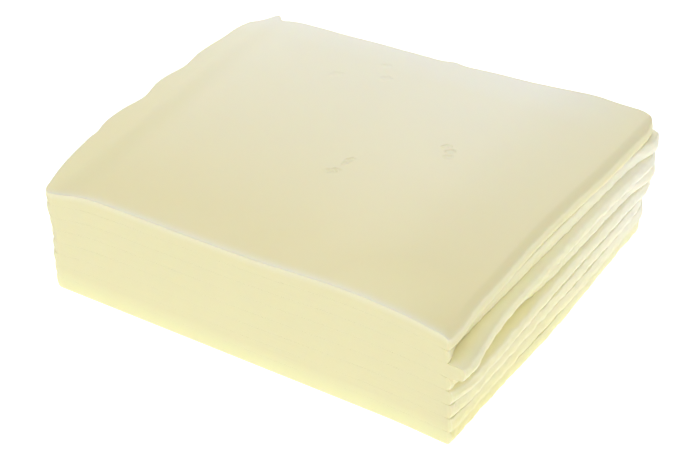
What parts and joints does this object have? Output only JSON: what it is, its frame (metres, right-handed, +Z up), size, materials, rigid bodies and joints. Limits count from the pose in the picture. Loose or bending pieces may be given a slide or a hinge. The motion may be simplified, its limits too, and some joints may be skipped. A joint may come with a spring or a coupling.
{
  "type": "stack of sliced cheese",
  "caption": "Unwrapped rectangular stack of pale cream cheese slices, pressed flush on the long side and slightly fanned at one end.",
  "frame": {"origin": "middle of the flat underside, where the bottom slice rests", "axes": "+Z up through the slices, X along the long flush front side with the fanned end at +X, -Y the flush front side"},
  "size_m": [0.1, 0.0811, 0.0272],
  "materials": {
    "cheese": "soft satin, pale cream yellow, slightly translucent at the edges"
  },
  "bodies": {
    "root": {"slice_1": "cheese", "slice_2": "cheese", "slice_3": "cheese", "slice_4": "cheese", "slice_5": "cheese", "slice_6": "cheese", "slice_7": "cheese", "slice_8": "cheese"}
  },
  "joints": []
}
